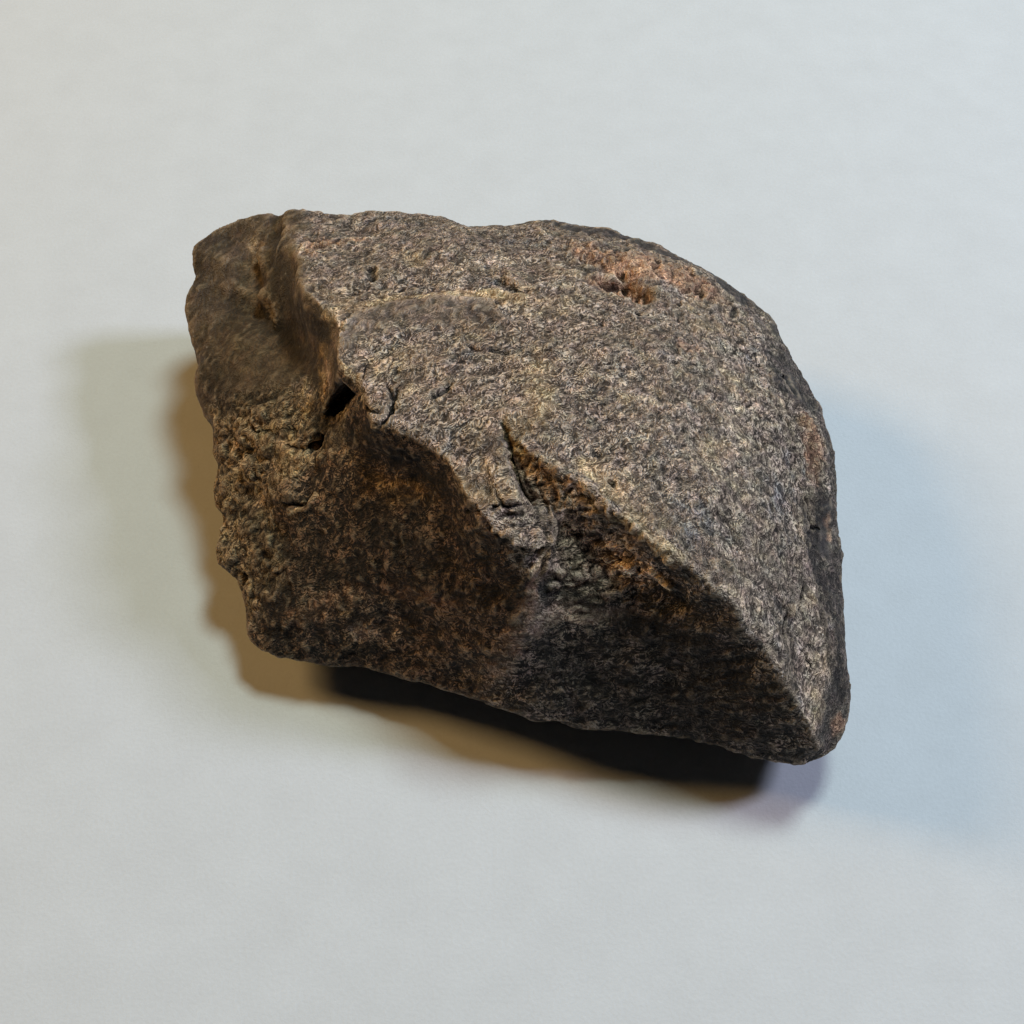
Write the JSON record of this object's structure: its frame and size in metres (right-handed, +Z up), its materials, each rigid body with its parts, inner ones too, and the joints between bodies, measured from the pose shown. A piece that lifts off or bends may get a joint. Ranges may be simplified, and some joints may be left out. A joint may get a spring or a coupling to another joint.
{
  "type": "glendonite specimen",
  "caption": "Broken hand specimen of brown calcite pseudomorph: a flat granular face, stepped broken edges and a knobby side, resting on a small flat spot.",
  "frame": {"origin": "centre of the stone's box in plan, on the surface that it rests on", "axes": "+X along the stone's longest extent, towards its smooth rounded side; +Y away from the stepped broken front; +Z up"},
  "size_m": [0.0899, 0.0824, 0.0358],
  "materials": {
    "stone": "matt, finely granular calcite with tan dust and rusty stains, dark smooth rind at the edges"
  },
  "bodies": {
    "root": {"glendonite": "stone"}
  },
  "joints": []
}
